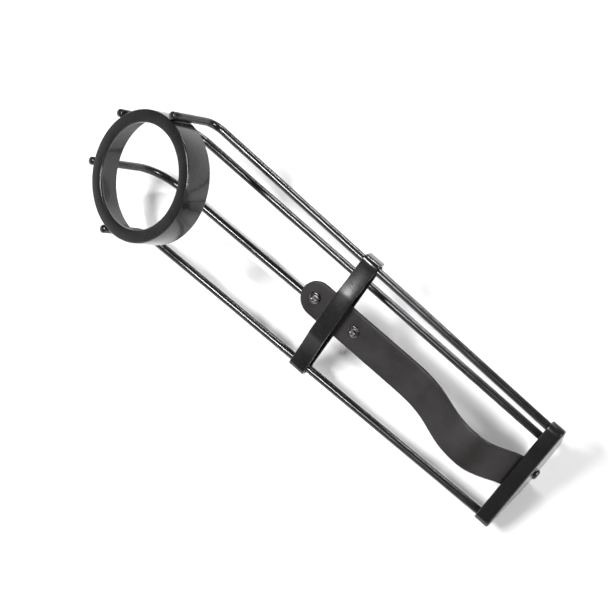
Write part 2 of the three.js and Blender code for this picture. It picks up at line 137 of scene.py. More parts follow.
SCREW_RADIUS = 0.002
SCREW_HEAD_RADIUS = 0.004
SCREW_HEAD_HEIGHT = 0.0028
SCREW_SOCKET_RADIUS = 0.00145
SCREW_SOCKET_DEPTH = 0.0016
SCREW_TIP_LENGTH = 0.0015
NUT_ACROSS_FLATS = 0.007
NUT_HEIGHT = 0.0032
WASHER_RADIUS = 0.0045
WASHER_THICKNESS = 0.0008

# Details of the making that no other piece fits to.

ROD_SIDES = 28
TRAY_FLOOR_MARGIN = 0.0012       # innermost loop of the floor, round the rod feet
WELD_STEPS = 26
WELD_SIDES = 12
WELD_LUMP_SCALE = 700.0
RING_WELD_OFFSET = 0.0021        # from the rod's contact line, round the ring
RING_WELD_SETBACK = 0.003        # from each edge of the band
FOOT_WELD_STEPS = 30
FOOT_WELD_SIDES = 10
FOOT_WELD_STANDOFF = 0.0002      # from the rod's surface to the bead's middle
FOOT_WELD_HEIGHT = 0.0004
KEEPER_WELD_REACH = 0.0034       # to each side of the rod's middle
KEEPER_WELD_STANDOFF = 0.0004    # behind the rod's surface

SOCKET_POINT = 0.0004            # depth of the drilled point under the socket
SOCKET_LEAD_IN = 0.00025
SOCKET_FLARE = 1.14
SCREW_CROWN_RADIUS = 0.0022      # flat top of the screw's head
SCREW_CROWN_RISE = 0.72          # height of the rounding as a share of the head
SCREW_CHAMFER = 0.0002
THREAD_PITCH = 0.0005
THREAD_DEPTH = 0.0003
THREAD_CRESTS = 2
SCREW_END_TAPER = 0.0005
NUT_CHAMFER = 0.0005
NUT_CORNER_CUT = 0.0001
NUT_FACE_STEP = 0.0002
NUT_BORE_LEAD_IN = 0.0003

STRAP_TAIL_CORNER = 0.005
STRAP_STATION_STEP = 0.0021
SLACK_START = 0.034              # along the strap, from its tail
SLACK_END = 0.105                # along the strap, back from its tip
SLACK_FADE_IN = 0.02
SLACK_FADE_OUT = 0.03
RIPPLES_ACROSS = 26.0
RIPPLES_ALONG = 21.0
EYELET_SEAT_GAP = 0.0001
EYELET_RING_GAP = 0.0002

KEEPER_SHOULDER = 0.72           # the bow's shoulder, as a share of half the width
KEEPER_BEND_RADIUS = 0.003
KEEPER_END_SHRINK = 0.72
KEEPER_END_BEVEL = 0.0004
PLATE_CORNER = 0.0012
PLATE_HOLE_CHAMFER = 0.0003

# ------------------------------------------------------- places in the standing rack

WIDTH_AXIS = Vector((1, 0, 0))
MOUTH_AXIS = Vector((0, -math.sin(BEND_ANGLE), math.cos(BEND_ANGLE)))
OUTER_AXIS = Vector((0, math.cos(BEND_ANGLE), math.sin(BEND_ANGLE)))
ROD_CIRCLE = RING_RADIUS + ROD_RADIUS + CLEARANCE
MOUTH_CENTRE = (
    Vector((0, -HALF_DEPTH, LEG_LENGTH))
    + MOUTH_AXIS * FRONT_CAGE_LENGTH
    - OUTER_AXIS * ROD_CIRCLE * math.cos(FRONT_ROD_ANGLE)
)
STRAP_ON_FLOOR = CLEARANCE + STRAP_THICKNESS / 2


def rack_matrix():
    """The standing rack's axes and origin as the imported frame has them."""
    face = next(m for m in frame["record"]["mounts"] if m["name"] == "ring_face")
    joint = next(j for j in frame["joints"] if j["name"] == "strap_pull")
    leg = Vector(joint["axis"]).normalized()
    mouth = Vector(face["axis"]).normalized()
    width = leg.cross(mouth).normalized()
    depth = leg.cross(width)
    turn = Matrix((width, depth, leg)).transposed()
    on_lip = MOUTH_CENTRE + OUTER_AXIS * (RING_RADIUS - RING_WALL - LIP_WIDTH / 2)
    origin = Vector(face["pos_m"]) - turn @ on_lip
    return Matrix.Translation(origin) @ turn.to_4x4()


RACK = rack_matrix()

# ------------------------------------------------------------------- mesh helpers


def bridge(bm, loops, closed=False, capped=True):
    """Joins loops of points with quads; a loop of one point closes to a tip."""
    rings = [[bm.verts.new(point) for point in loop] for loop in loops]
    pairs = list(zip(rings, rings[1:]))
    if closed:
        pairs.append((rings[-1], rings[0]))
    for lower, upper in pairs:
        count = max(len(lower), len(upper))
        for index in range(count):
            after = (index + 1) % count
            if len(lower) == 1:
                corners = (lower[0], upper[after], upper[index])
            elif len(upper) == 1:
                corners = (lower[index], lower[after], upper[0])
            else:
                corners = (lower[index], lower[after], upper[after], upper[index])
            bm.faces.new(corners)
    if capped and not closed:
        if len(rings[0]) > 2:
            bm.faces.new(list(reversed(rings[0])))
        if len(rings[-1]) > 2:
            bm.faces.new(rings[-1])


def circle(radius, height, count):
    step = 2 * math.pi / count
    return [
        Vector((radius * math.cos(step * index), radius * math.sin(step * index), height))
        for index in range(count)
    ]


def rounded(corners, steps=4):
    """A closed outline of (x, y, radius) corners with each corner rounded off."""
    points = []
    total = len(corners)
    for index, (x, y, radius) in enumerate(corners):
        corner = Vector((x, y))
        before = (Vector(corners[index - 1][:2]) - corner).normalized()
        after = (Vector(corners[(index + 1) % total][:2]) - corner).normalized()
        if radius <= 0:
            points.append(corner)
            continue
        half = math.acos(max(-1.0, min(1.0, before.dot(after)))) / 2
        centre = corner + (before + after).normalized() * radius / math.sin(half)
        first = corner + before * radius / math.tan(half) - centre
        last = corner + after * radius / math.tan(half) - centre
        for step in range(steps + 1):
            share = step / steps
            direction = first.lerp(last, share)
            points.append(centre + direction.normalized() * radius)
    return points


def round_hole(outline, radius):
    """A circle with one point for each of the outline's, evenly spaced."""
    begin = math.atan2(outline[0].y, outline[0].x)
    step = 2 * math.pi / len(outline)
    return [
        Vector((radius * math.cos(begin + step * index),
                radius * math.sin(begin + step * index)))
        for index in range(len(outline))
    ]


def lathe(bm, profile, count, place):
    """Turns a closed profile of (radius, height) points about Z and sets it in place."""
    loops = [
        [place @ point for point in circle(corner.x, corner.y, count)]
        for corner in profile
    ]
    bridge(bm, loops, closed=True)


def finished_mesh(name, bm):
    data = bpy.data.meshes.new(name)
    bm.to_mesh(data)
    bm.free()
    return data


def make_piece(name, bm, material, body=FRAME_BODY, replaces=(), sharp=40):
    """Lays the mesh where the frame is and hands it to its body."""
    bmesh.ops.transform(bm, matrix=RACK, verts=bm.verts)
    bmesh.ops.recalc_face_normals(bm, faces=bm.faces)
    data = finished_mesh(name, bm)
    return make_object(name, data, material, body, replaces, sharp)


def make_object(name, data, material, body, replaces, sharp):
    data.shade_smooth()
    data.set_sharp_from_angle(angle=math.radians(sharp))
    data.materials.append(material)
    piece = bpy.data.objects.new(name, data)
    bpy.context.scene.collection.objects.link(piece)
    if body is not None:
        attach(piece, body)
    if replaces:
        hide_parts(*replaces)
    return piece


# --------------------------------------------------------------------- materials


class Shader:
    """A material's node tree with short names for the nodes it is built from."""

    def __init__(self, name):
        self.material = bpy.data.materials.new(name)
        self.material.use_nodes = True
        self.tree = self.material.node_tree
        self.surface = self.tree.nodes["Principled BSDF"]

    def node(self, kind, inputs=(), **settings):
        made = self.tree.nodes.new(kind)
        for key, value in settings.items():
            setattr(made, key, value)
        for key, value in dict(inputs).items():
            if isinstance(value, bpy.types.NodeSocket):
                self.tree.links.new(value, made.inputs[key])
            else:
                made.inputs[key].default_value = value
        return made

    def object_place(self):
        return self.node("ShaderNodeTexCoord").outputs["Object"]

    def attribute(self, name, output="Vector"):
        return self.node("ShaderNodeAttribute", attribute_name=name).outputs[output]

    def clouds(self, place, scale, detail=3.0, rough=0.55):
        return self.node("ShaderNodeTexNoise", {
            "Vector": place, "Scale": scale, "Detail": detail, "Roughness": rough,
        }).outputs["Fac"]

    def stretched(self, place, scale):
        return self.node("ShaderNodeMapping", {
            "Vector": place, "Scale": scale,
        }).outputs["Vector"]

    def ranged(self, value, low, high, to_low, to_high):
        return self.node("ShaderNodeMapRange", {
            "Value": value, "From Min": low, "From Max": high,
            "To Min": to_low, "To Max": to_high,
        }).outputs["Result"]

    def blended(self, share, first, second):
        """Mixes two colours, which the mix node takes at its inputs 6 and 7."""
        made = self.node("ShaderNodeMix", data_type="RGBA")
        for index, value in ((0, share), (6, first), (7, second)):
            if isinstance(value, bpy.types.NodeSocket):
                self.tree.links.new(value, made.inputs[index])
            else:
                made.inputs[index].default_value = value
        return made.outputs[2]

    def maths(self, operation, first, second):
        return self.node(
            "ShaderNodeMath", {0: first, 1: second}, operation=operation
        ).outputs[0]

    def bumped(self, height, strength, distance, normal=None):
        inputs = {"Height": height, "Strength": strength, "Distance": distance}
        if normal is not None:
            inputs["Normal"] = normal
        return self.node("ShaderNodeBump", inputs).outputs["Normal"]

    def drive(self, **sockets):
        """Links or sets the surface's sockets, named with underscores for spaces."""
        for key, value in sockets.items():
            socket = self.surface.inputs[key.replace("_", " ")]
            if isinstance(value, bpy.types.NodeSocket):
                self.tree.links.new(value, socket)
            else:
                socket.default_value = value


def lifted(color, gain, lift):
    """The colour scaled and lifted, with full opacity."""
    return (*(min(1.0, part * gain + lift) for part in color), 1.0)


def paint_material():
    """Gloss black enamel with a faint orange peel, dust and rubbed patches."""
    found = bpy.data.materials.get("gloss_enamel")
    if found:
        return found
    finish = bpy.context.scene.rack_finish
    shader = Shader("gloss_enamel")
    place = shader.object_place()
    peel = shader.clouds(place, 620.0, 2.0)
    patches = shader.clouds(place, 46.0, 4.0, 0.6)
    scuffs = shader.clouds(shader.stretched(place, (1.0, 3.2, 3.2)), 210.0, 7.0, 0.72)
    rubbed = shader.ranged(scuffs, 0.60, 0.74, 0.0, finish.paint_wear)
    deep = (*finish.paint_color, 1.0)
    dusty = lifted(finish.paint_color, 2.6, 0.012)
    rough = shader.ranged(patches, 0.30, 0.70, 0.17, 0.30)
    normal = shader.bumped(peel, 0.10, 0.00025)
    shader.drive(
        Base_Color=shader.blended(rubbed, deep, dusty),
        Roughness=shader.maths("ADD", rough, shader.maths("MULTIPLY", rubbed, 0.22)),
        Normal=shader.bumped(scuffs, 0.05, 0.0002, normal),
        Coat_Weight=0.25,
        Coat_Roughness=0.06,
        IOR=1.5,
    )
    return shader.material


def leather_material():
    """Smooth dark leather: fine pores, soft creases and a glossier edge painted a lighter
    tint as a sheen.
    """
    found = bpy.data.materials.get("dark_leather")
    if found:
        return found
    finish = bpy.context.scene.rack_finish
    shader = Shader("dark_leather")
    place = shader.attribute("hide_place")
    edge = shader.attribute("hide_edge", "Fac")
    pebbles = shader.node("ShaderNodeTexVoronoi", {
        "Vector": place, "Scale": 1050.0, "Randomness": 1.0,
    }, feature="DISTANCE_TO_EDGE").outputs["Distance"]
    grain = shader.ranged(pebbles, 0.0, 0.16, 0.0, 1.0)
    fibres = shader.clouds(place, 2600.0, 3.0)
    creases = shader.clouds(shader.stretched(place, (0.35, 1.0, 1.0)), 190.0, 5.0, 0.65)
    tone = shader.clouds(place, 38.0, 3.0)
    base = (*finish.leather_color, 1.0)
    light = lifted(finish.leather_color, 1.9, 0.006)
    # rim is a painted sheen: a lighter tint laid along the strap's edges, where they are
    # also made glossier.
    rim = lifted(finish.leather_color, 1.2, 0.004)
    body = shader.blended(shader.ranged(tone, 0.35, 0.72, 0.0, 0.75), base, light)
    pored = shader.blended(shader.ranged(grain, 0.0, 1.0, 0.55, 0.0), body, base)
    rough = shader.ranged(tone, 0.3, 0.7, 0.38, 0.52)
    edged = shader.maths("MULTIPLY", edge, -0.10)
    soft = shader.bumped(creases, 0.35, 0.0007)
    pitted = shader.bumped(grain, 0.16, 0.00025, soft)
    shader.drive(
        Base_Color=shader.blended(edge, pored, rim),
        Roughness=shader.maths("ADD", rough, edged),
        Normal=shader.bumped(fibres, 0.05, 0.0002, pitted),
        Specular_IOR_Level=0.28,
    )
    return shader.material


def metal_material(name, color, low, high):
    """Turned metal with fine rings of tool marks, stains and worn spots."""
    found = bpy.data.materials.get(name)
    if found:
        return found
    shader = Shader(name)
    place = shader.object_place()
    stains = shader.clouds(place, 380.0, 5.0, 0.65)
    marks = shader.clouds(shader.stretched(place, (9.0, 1.0, 1.0)), 900.0, 2.0)
    dull = (*color, 1.0)
    bright = lifted(color, 2.2, 0.03)
    shader.drive(
        Base_Color=shader.blended(
            shader.ranged(stains, 0.42, 0.68, 0.0, 0.8), dull, bright),
        Metallic=1.0,
        Roughness=shader.ranged(stains, 0.3, 0.7, low, high),
        Normal=shader.bumped(marks, 0.10, 0.0001),
    )
    return shader.material


def steel_material():
    finish = bpy.context.scene.rack_finish
    return metal_material("blackened_steel", finish.steel_color, 0.24, 0.42)


def eyelet_material():
    finish = bpy.context.scene.rack_finish
    return metal_material("gunmetal_eyelet", finish.eyelet_color, 0.16, 0.34)


# -------------------------------------------------------------------- the rods


def rod_foot(side, is_front):
    spacing = FRONT_FOOT_SPACING if is_front else BACK_FOOT_SPACING
    depth = -HALF_DEPTH if is_front else HALF_DEPTH
    return Vector((side * spacing / 2, depth, CLEARANCE))


def rod_mouth(side, is_front):
    angle = FRONT_ROD_ANGLE if is_front else BACK_ROD_ANGLE
    across = WIDTH_AXIS * side * ROD_CIRCLE * math.sin(angle)
    return MOUTH_CENTRE + OUTER_AXIS * ROD_CIRCLE * math.cos(angle) + across


def rod_path(side, is_front, bend_steps=22, leg_steps=14):
    """Stations from the ring's mouth round the bend and down to the tray."""
    start = rod_mouth(side, is_front)
    end = rod_foot(side, is_front)
    cage = FRONT_CAGE_LENGTH
    if not is_front:
        cage = (HALF_DEPTH - start.y) / -MOUTH_AXIS.y
    radius = FRONT_BEND_RADIUS if is_front else BACK_BEND_RADIUS
    corner = start - MOUTH_AXIS * cage
    back = (start - corner).normalized()
    forward = (end - corner).normalized()
    half = back.angle(forward) / 2
    centre = corner + (back + forward).normalized() * radius / math.sin(half)
    first = corner + back * radius / math.tan(half) - centre
    last = corner + forward * radius / math.tan(half) - centre
    axis = first.cross(last).normalized()
    sweep = math.pi - 2 * half
    bend = []
    for step in range(bend_steps + 1):
        turn = Matrix.Rotation(sweep * step / bend_steps, 3, axis)
        bend.append(centre + turn @ first)
    upper = [start.lerp(bend[0], step / 4) for step in range(4)]
    lower = [bend[-1].lerp(end, (step + 1) / leg_steps) for step in range(leg_steps)]
    return upper + bend + lower


def tube(bm, path, radius):
    """A round bar along the path whose ends are softly domed."""
    dome = bpy.context.scene.rack_sizes.rod_end_dome
    loops = []
    tangent = (path[1] - path[0]).normalized()
    side = tangent.orthogonal().normalized()
    last = len(path) - 1
    for index, point in enumerate(path):
        before = (point - path[index - 1]).normalized() if index else None
        after = (path[index + 1] - point).normalized() if index < last else None
        heading = ((before or after) + (after or before)).normalized()
        side = (side - heading * side.dot(heading)).normalized()
        up = heading.cross(side)
        ring = []
        for step in range(ROD_SIDES):
            angle = 2 * math.pi * step / ROD_SIDES
            ring.append((side * math.cos(angle) + up * math.sin(angle)) * radius)
        if index in (0, last):
            inward = heading if index == 0 else -heading
            tips = []
            for share in (0.45, 0.72, 0.90, 1.0):
                drop = dome * (1 - math.sqrt(1 - share * share))
                tips.append([point + inward * drop + spoke * share for spoke in ring])
            tips.insert(0, [point])
            loops.extend(tips if index == 0 else reversed(tips))
        else:
            loops.append([point + spoke for spoke in ring])
    bridge(bm, loops)


def weld_bead(bm, path, radius, seed):
    """A lumpy run of weld along the path, thinning out at both ends."""
    loops = [[path[0]]]
    heading = (path[-1] - path[0]).normalized()
    side = heading.orthogonal().normalized()
    up = heading.cross(side)
    last = len(path) - 1
    for index in range(1, last):
        share = index / last
        swell = math.sin(math.pi * share) ** 0.4
        ripple = 0.86 + 0.16 * math.sin(2.6 * index + seed)
        ring = []
        for step in range(WELD_SIDES):
            angle = 2 * math.pi * step / WELD_SIDES
            spoke = side * math.cos(angle) + up * math.sin(angle)
            grain = path[index] * WELD_LUMP_SCALE + spoke * 0.6
            lump = noise.noise(grain + Vector((seed, 0, 0)))
            ring.append(path[index] + spoke * radius * swell * (ripple + 0.10 * lump))
        loops.append(ring)
    loops.append([path[-1]])
    bridge(bm, loops)


def ring_weld_paths(side, is_front):
    """Two lines in the crevices between a rod and the ring band."""
    angle = FRONT_ROD_ANGLE if is_front else BACK_ROD_ANGLE
    paths = []
    for turn in (-1, 1):
        spread = angle + turn * RING_WELD_OFFSET / RING_RADIUS
        radial = OUTER_AXIS * math.cos(spread) + WIDTH_AXIS * side * math.sin(spread)
        seat = MOUTH_CENTRE + radial * (RING_RADIUS + CLEARANCE)
        near = seat - MOUTH_AXIS * RING_WELD_SETBACK
        far = seat - MOUTH_AXIS * (RING_DEPTH - RING_WELD_SETBACK)
        paths.append([near.lerp(far, step / WELD_STEPS) for step in range(WELD_STEPS + 1)])
    return paths


def foot_weld_path(side, is_front):
    """A ring of weld round a rod's foot on the tray floor."""
    foot = rod_foot(side, is_front)
    points = []
    reach = ROD_RADIUS + FOOT_WELD_STANDOFF
    for step in range(FOOT_WELD_STEPS):
        angle = 2 * math.pi * step / FOOT_WELD_STEPS
        points.append(foot + Vector((
            reach * math.cos(angle), reach * math.sin(angle), FOOT_WELD_HEIGHT)))
    return points


def bead_ring(bm, points, radius, seed):
    """A closed lumpy bead through the points."""
    loops = []
    middle = sum(points, Vector()) / len(points)
    for index, point in enumerate(points):
        out = (point - middle).normalized()
        ripple = 0.88 + 0.14 * math.sin(2.9 * index + seed)
        ring = []
        for step in range(FOOT_WELD_SIDES):
            angle = 2 * math.pi * step / FOOT_WELD_SIDES
            spoke = out * math.cos(angle) + Vector((0, 0, math.sin(angle)))
            ring.append(point + spoke * radius * ripple)
        loops.append(ring)
    bridge(bm, loops, closed=True)


class RACK_OT_rods(bpy.types.Operator):
    """Bend the four rods from the ring's mouth down to the end tray"""
    bl_idname = "rack.rods"
    bl_label = "Rods"

    def execute(self, context):
        for is_front, row in ((True, "front"), (False, "back")):
            for side, hand in ((-1, "left"), (1, "right")):
                bm = bmesh.new()
                tube(bm, rod_path(side, is_front), ROD_RADIUS)
                name = f"{row}_rod_{hand}"
                make_piece(f"{name}_bar", bm, paint_material(),
                           replaces=[name])
        return {"FINISHED"}


class RACK_OT_welds(bpy.types.Operator):
    """Run the weld beads at the ring, the tray and the keeper"""
    bl_idname = "rack.welds"
    bl_label = "Weld beads"

    def execute(self, context):
        sizes = context.scene.rack_sizes
        rods = [(side, front) for front in (True, False) for side in (-1, 1)]
        bm = bmesh.new()
        for order, (side, is_front) in enumerate(rods):
            for turn, path in enumerate(ring_weld_paths(side, is_front)):
                weld_bead(bm, path, sizes.ring_weld_radius, 1.7 * order + turn)
        make_piece("ring_weld_beads", bm, paint_material(), sharp=60)
        bm = bmesh.new()
        for order, (side, is_front) in enumerate(rods):
            path = foot_weld_path(side, is_front)
            bead_ring(bm, path, sizes.foot_weld_radius, 2.3 * order)
        make_piece("foot_weld_beads", bm, paint_material(), sharp=60)
        bm = bmesh.new()
        for side in (-1, 1):
            for turn in (-1, 1):
                height = KEEPER_HEIGHT + turn * KEEPER_WIDTH * 0.5
                spot = Vector((
                    side * half_spacing(FRONT_ROD_ANGLE, FRONT_FOOT_SPACING, height),
                    -HALF_DEPTH + ROD_RADIUS + KEEPER_WELD_STANDOFF, height))
                reach = WIDTH_AXIS * KEEPER_WELD_REACH
                path = [spot.lerp(spot + reach, step / 6 - 1) for step in range(13)]
                weld_bead(bm, path, sizes.keeper_weld_radius, side + 3.1 * turn)
        make_piece("keeper_weld_beads", bm, paint_material(), sharp=60)
        return {"FINISHED"}


# -------------------------------------------------------------------- the ring


class RACK_OT_ring(bpy.types.Operator):
    """Turn the ring band with its inward lip and rounded edges"""
    bl_idname = "rack.ring"
    bl_label = "Ring"

    def execute(self, context):
        wall = RING_RADIUS - RING_WALL
        lip = wall - LIP_WIDTH
        profile = rounded([
            (RING_RADIUS, 0.0, 0.0011),
            (RING_RADIUS, -RING_DEPTH, 0.0009),
            (wall, -RING_DEPTH, 0.0009),
            (wall, -LIP_THICKNESS, 0.0016),
            (lip, -LIP_THICKNESS, 0.0010),
            (lip, 0.0, 0.0010),
        ], 5)
        across = MOUTH_AXIS.cross(WIDTH_AXIS)
        place = Matrix((WIDTH_AXIS, across, MOUTH_AXIS)).transposed().to_4x4()
        place.translation = MOUTH_CENTRE
        bm = bmesh.new()
        lathe(bm, profile, 144, place)
        make_piece("lipped_ring", bm, paint_material(),
                   replaces=["ring_band", "ring_flange"])
        return {"FINISHED"}


# -------------------------------------------------------------------- the tray


def half_spacing(ring_angle, foot_spacing, height):
    """Half the width between a pair of rods at a height on the leg."""
    top = ROD_CIRCLE * math.sin(ring_angle)
    return foot_spacing / 2 + (top - foot_spacing / 2) * height / LEG_LENGTH


def tray_outline(margin, height, steps=9):
    """The tray's outline, standing off the rod feet by the margin all round."""
    front = FRONT_FOOT_SPACING / 2
    back = BACK_FOOT_SPACING / 2
    slope = math.hypot(front - back, 2 * HALF_DEPTH)
    lean = (slope + (front - back)) / (2 * HALF_DEPTH)
    corners = [
        (-front - margin * lean, -HALF_DEPTH - margin, margin),
        (front + margin * lean, -HALF_DEPTH - margin, margin),
        (back + margin / lean, HALF_DEPTH + margin, margin),
        (-back - margin / lean, HALF_DEPTH + margin, margin),
    ]
    return [Vector((p.x, p.y, height)) for p in rounded(corners, steps)]


def tray_inside():
    """From the rod feet to the tray's wall, with room for the rods' splay."""
    splay = max(
        abs(half_spacing(FRONT_ROD_ANGLE, FRONT_FOOT_SPACING, TRAY_HEIGHT)
            - FRONT_FOOT_SPACING / 2),
        abs(half_spacing(BACK_ROD_ANGLE, BACK_FOOT_SPACING, TRAY_HEIGHT)
            - BACK_FOOT_SPACING / 2))
    return ROD_RADIUS + CLEARANCE + splay


class RACK_OT_tray(bpy.types.Operator):
    """Press the shallow end tray with its rolled rim"""
    bl_idname = "rack.tray"
    bl_label = "End tray"

    def execute(self, context):
        inside = tray_inside()
        outside = inside + TRAY_WALL
        rim = TRAY_HEIGHT - TRAY_WALL
        section = rounded([
            (outside, -TRAY_WALL, 0.0018),
            (outside, rim, 0.0009),
            (inside, rim, 0.0009),
            (inside, 0.0, 0.0014),
            (TRAY_FLOOR_MARGIN, 0.0, 0.0),
            (TRAY_FLOOR_MARGIN, -TRAY_WALL, 0.0),
        ], 5)
        loops = [tray_outline(point.x, point.y) for point in section]
        bore = SCREW_RADIUS + CLEARANCE
        for level in (0.0, -TRAY_WALL):
            edge = round_hole(loops[-1], bore)
            loops.insert(-1, [Vector((spot.x, spot.y, level)) for spot in edge])
        bm = bmesh.new()
        bridge(bm, loops, closed=True)
        make_piece("tray_pan", bm, paint_material(),
                   replaces=["end_tray"], sharp=50)
        return {"FINISHED"}


# -------------------------------------------------------------------- the screw


def hexagon(across_flats, height, count, corner_cut=0.0):
    """A six-sided loop with as many points as the round loops beside it."""
    points = []
    for index in range(count):
        angle = 2 * math.pi * index / count
        local = (angle % (math.pi / 3)) - math.pi / 6
        reach = across_flats / 2 / math.cos(local)
        reach = min(reach, across_flats / math.sqrt(3) - corner_cut)
        points.append(Vector((
            reach * math.cos(angle), reach * math.sin(angle), height)))
    return points


class RACK_OT_screw(bpy.types.Operator):
    """Turn the strap's screw, its washer and its nut"""
    bl_idname = "rack.screw"
    bl_label = "Strap screw"

    def execute(self, context):
        count = 48
        head_top = -TRAY_WALL - CLEARANCE
        washer_bottom = 2 * CLEARANCE + STRAP_THICKNESS
        nut_bottom = washer_bottom + WASHER_THICKNESS + CLEARANCE
        shank_top = nut_bottom + NUT_HEIGHT + SCREW_TIP_LENGTH
        head_bottom = head_top - SCREW_HEAD_HEIGHT

        bm = bmesh.new()
        loops = [[Vector((0, 0, head_bottom + SCREW_SOCKET_DEPTH + SOCKET_POINT))]]
        socket = 2 * SCREW_SOCKET_RADIUS * math.cos(math.pi / 6)
        loops.append(hexagon(socket, head_bottom + SCREW_SOCKET_DEPTH, count))
        loops.append(hexagon(socket, head_bottom + SOCKET_LEAD_IN, count))
        loops.append(hexagon(socket * SOCKET_FLARE, head_bottom, count))
        side_width = SCREW_HEAD_RADIUS - SCREW_CROWN_RADIUS
        for share in (0.0, 0.25, 0.45, 0.62, 0.77, 0.90, 1.0):
            angle = share * math.pi / 2
            reach = SCREW_CROWN_RADIUS + side_width * math.sin(angle)
            rise = SCREW_HEAD_HEIGHT * SCREW_CROWN_RISE * (1 - math.cos(angle))
            loops.append(circle(reach, head_bottom + rise, count))
        loops.append(circle(SCREW_HEAD_RADIUS, head_top - SCREW_CHAMFER, count))
        loops.append(circle(SCREW_HEAD_RADIUS - SCREW_CHAMFER, head_top, count))
        loops.append(circle(SCREW_RADIUS, head_top, count))
        thread_start = nut_bottom + NUT_HEIGHT + CLEARANCE
        loops.append(circle(SCREW_RADIUS, thread_start, count))
        for crest in range(THREAD_CRESTS):
            base = thread_start + crest * THREAD_PITCH
            root = SCREW_RADIUS - THREAD_DEPTH
            loops.append(circle(root, base + THREAD_PITCH / 2, count))
            loops.append(circle(SCREW_RADIUS, base + THREAD_PITCH, count))
        loops.append(circle(SCREW_RADIUS - SCREW_END_TAPER, shank_top, count))
        loops.append([Vector((0, 0, shank_top))])
        bridge(bm, loops)
        make_piece("pan_head_screw", bm, steel_material(),
                   replaces=["strap_screw"], sharp=32)

        bore = SCREW_RADIUS + CLEARANCE
        top = washer_bottom + WASHER_THICKNESS
        profile = rounded([
            (bore, washer_bottom, 0.0002),
            (WASHER_RADIUS, washer_bottom, 0.0003),
            (WASHER_RADIUS, top, 0.0003),
            (bore, top, 0.0002),
        ], 3)
        bm = bmesh.new()
        lathe(bm, profile, count, Matrix.Identity(4))
        make_piece("flat_washer", bm, steel_material(),
                   replaces=["strap_washer"])

        bm = bmesh.new()
        low, high = nut_bottom, nut_bottom + NUT_HEIGHT
        mouth = bore + NUT_FACE_STEP
        face = NUT_ACROSS_FLATS / 2 - NUT_FACE_STEP
        bridge(bm, [
            circle(mouth, low, count),
            circle(face, low, count),
            hexagon(NUT_ACROSS_FLATS, low + NUT_CHAMFER, count, NUT_CORNER_CUT),
            hexagon(NUT_ACROSS_FLATS, high - NUT_CHAMFER, count, NUT_CORNER_CUT),
            circle(face, high, count),
            circle(mouth, high, count),
            circle(bore, high - NUT_BORE_LEAD_IN, count),
            circle(bore, low + NUT_BORE_LEAD_IN, count),
        ], closed=True)
        make_piece("hex_nut", bm, steel_material(),
                   replaces=["strap_nut"], sharp=28)
        return {"FINISHED"}


# -------------------------------------------------------------------- the strap


def bezier(points, share):
    first, second, third, fourth = points
    rest = 1 - share
    return (first * rest ** 3 + second * 3 * rest * rest * share
            + third * 3 * rest * share * share + fourth * share ** 3)


def strap_line():
    """The strap's centre line as (depth, height) points, tail first."""
    rising = Vector((-math.cos(LOOP_RIM_SLOPE), math.sin(LOOP_RIM_SLOPE)))
    start = Vector((-LOOP_START, STRAP_ON_FLOOR))
    over_rim = Vector((
        -HALF_DEPTH - tray_inside() - TRAY_WALL / 2,
        TRAY_HEIGHT - TRAY_WALL + CLEARANCE
        + STRAP_THICKNESS / 2 / math.cos(LOOP_RIM_SLOPE)
        + TRAY_WALL / 2 * math.tan(LOOP_RIM_SLOPE)))
    bulge = Vector((-HALF_DEPTH - LOOP_BULGE, LOOP_BULGE_HEIGHT))
    end = Vector((-HALF_DEPTH, STRAP_SPLIT))
    curves = (
        (start, start - Vector((LOOP_FLOOR_REACH, 0)),
         over_rim - rising * LOOP_RIM_REACH_IN, over_rim),
        (over_rim, over_rim + rising * LOOP_RIM_REACH_OUT,
         bulge - Vector((0, LOOP_BULGE_REACH_IN)), bulge),
        (bulge, bulge + Vector((0, LOOP_BULGE_REACH_OUT)),
         end - Vector((0, LOOP_RETURN_REACH)), end),
    )
    points = [Vector((STRAP_TAIL, STRAP_ON_FLOOR))]
    for curve in curves:
        points += [bezier(curve, step / 30) for step in range(30)]
    return points + [end, Vector((-HALF_DEPTH, STRAP_TIP))]


class StrapCourse:
    """Turns a place on the flat strap into a place on the threaded one."""

    def __init__(self):
        self.points = strap_line()
        self.lengths = [0.0]
        for before, after in zip(self.points, self.points[1:]):
            self.lengths.append(self.lengths[-1] + (after - before).length)
        self.total = self.lengths[-1]

    def at(self, along):
        along = min(max(along, 0.0), self.total)
        index = 0
        while index < len(self.lengths) - 2 and self.lengths[index + 1] < along:
            index += 1
        span = self.lengths[index + 1] - self.lengths[index]
        share = (along - self.lengths[index]) / span
        return self.points[index].lerp(self.points[index + 1], share)

    def bent(self, across, along, out):
        reach = 0.002
        ahead = self.at(along + reach)
        behind = self.at(along - reach)
        heading = (ahead - behind).normalized()
        place = self.at(along)
        facing = Vector((-heading.y, heading.x))
        place = place + facing * out
        return Vector((across, place.x, place.y))


def strap_half_width(along, total):
    half = STRAP_WIDTH / 2
    to_tip = total - along
    if to_tip < half:
        return math.sqrt(max(half * half - (half - to_tip) ** 2, 0.0))
    corner = STRAP_TAIL_CORNER
    if along < corner:
        return half - corner + math.sqrt(max(corner ** 2 - (corner - along) ** 2, 0.0))
    return half


def strap_stations(total):
    """Places along the strap from its tail to its tip, closer together at both ends."""
    half = STRAP_WIDTH / 2
    corner = STRAP_TAIL_CORNER
    head = [corner * (1 - math.cos(step * math.pi / 12)) for step in range(7)]
    middle_start, middle_end = corner, total - half
    count = int((middle_end - middle_start) / STRAP_STATION_STEP)
    middle = [middle_start + (middle_end - middle_start) * (step + 1) / count
              for step in range(count)]
    tip = [total - half + half * math.sin(step * math.pi / 2 / 18)
           for step in range(1, 18)]
    return head[:-1] + [middle_start] + middle + tip


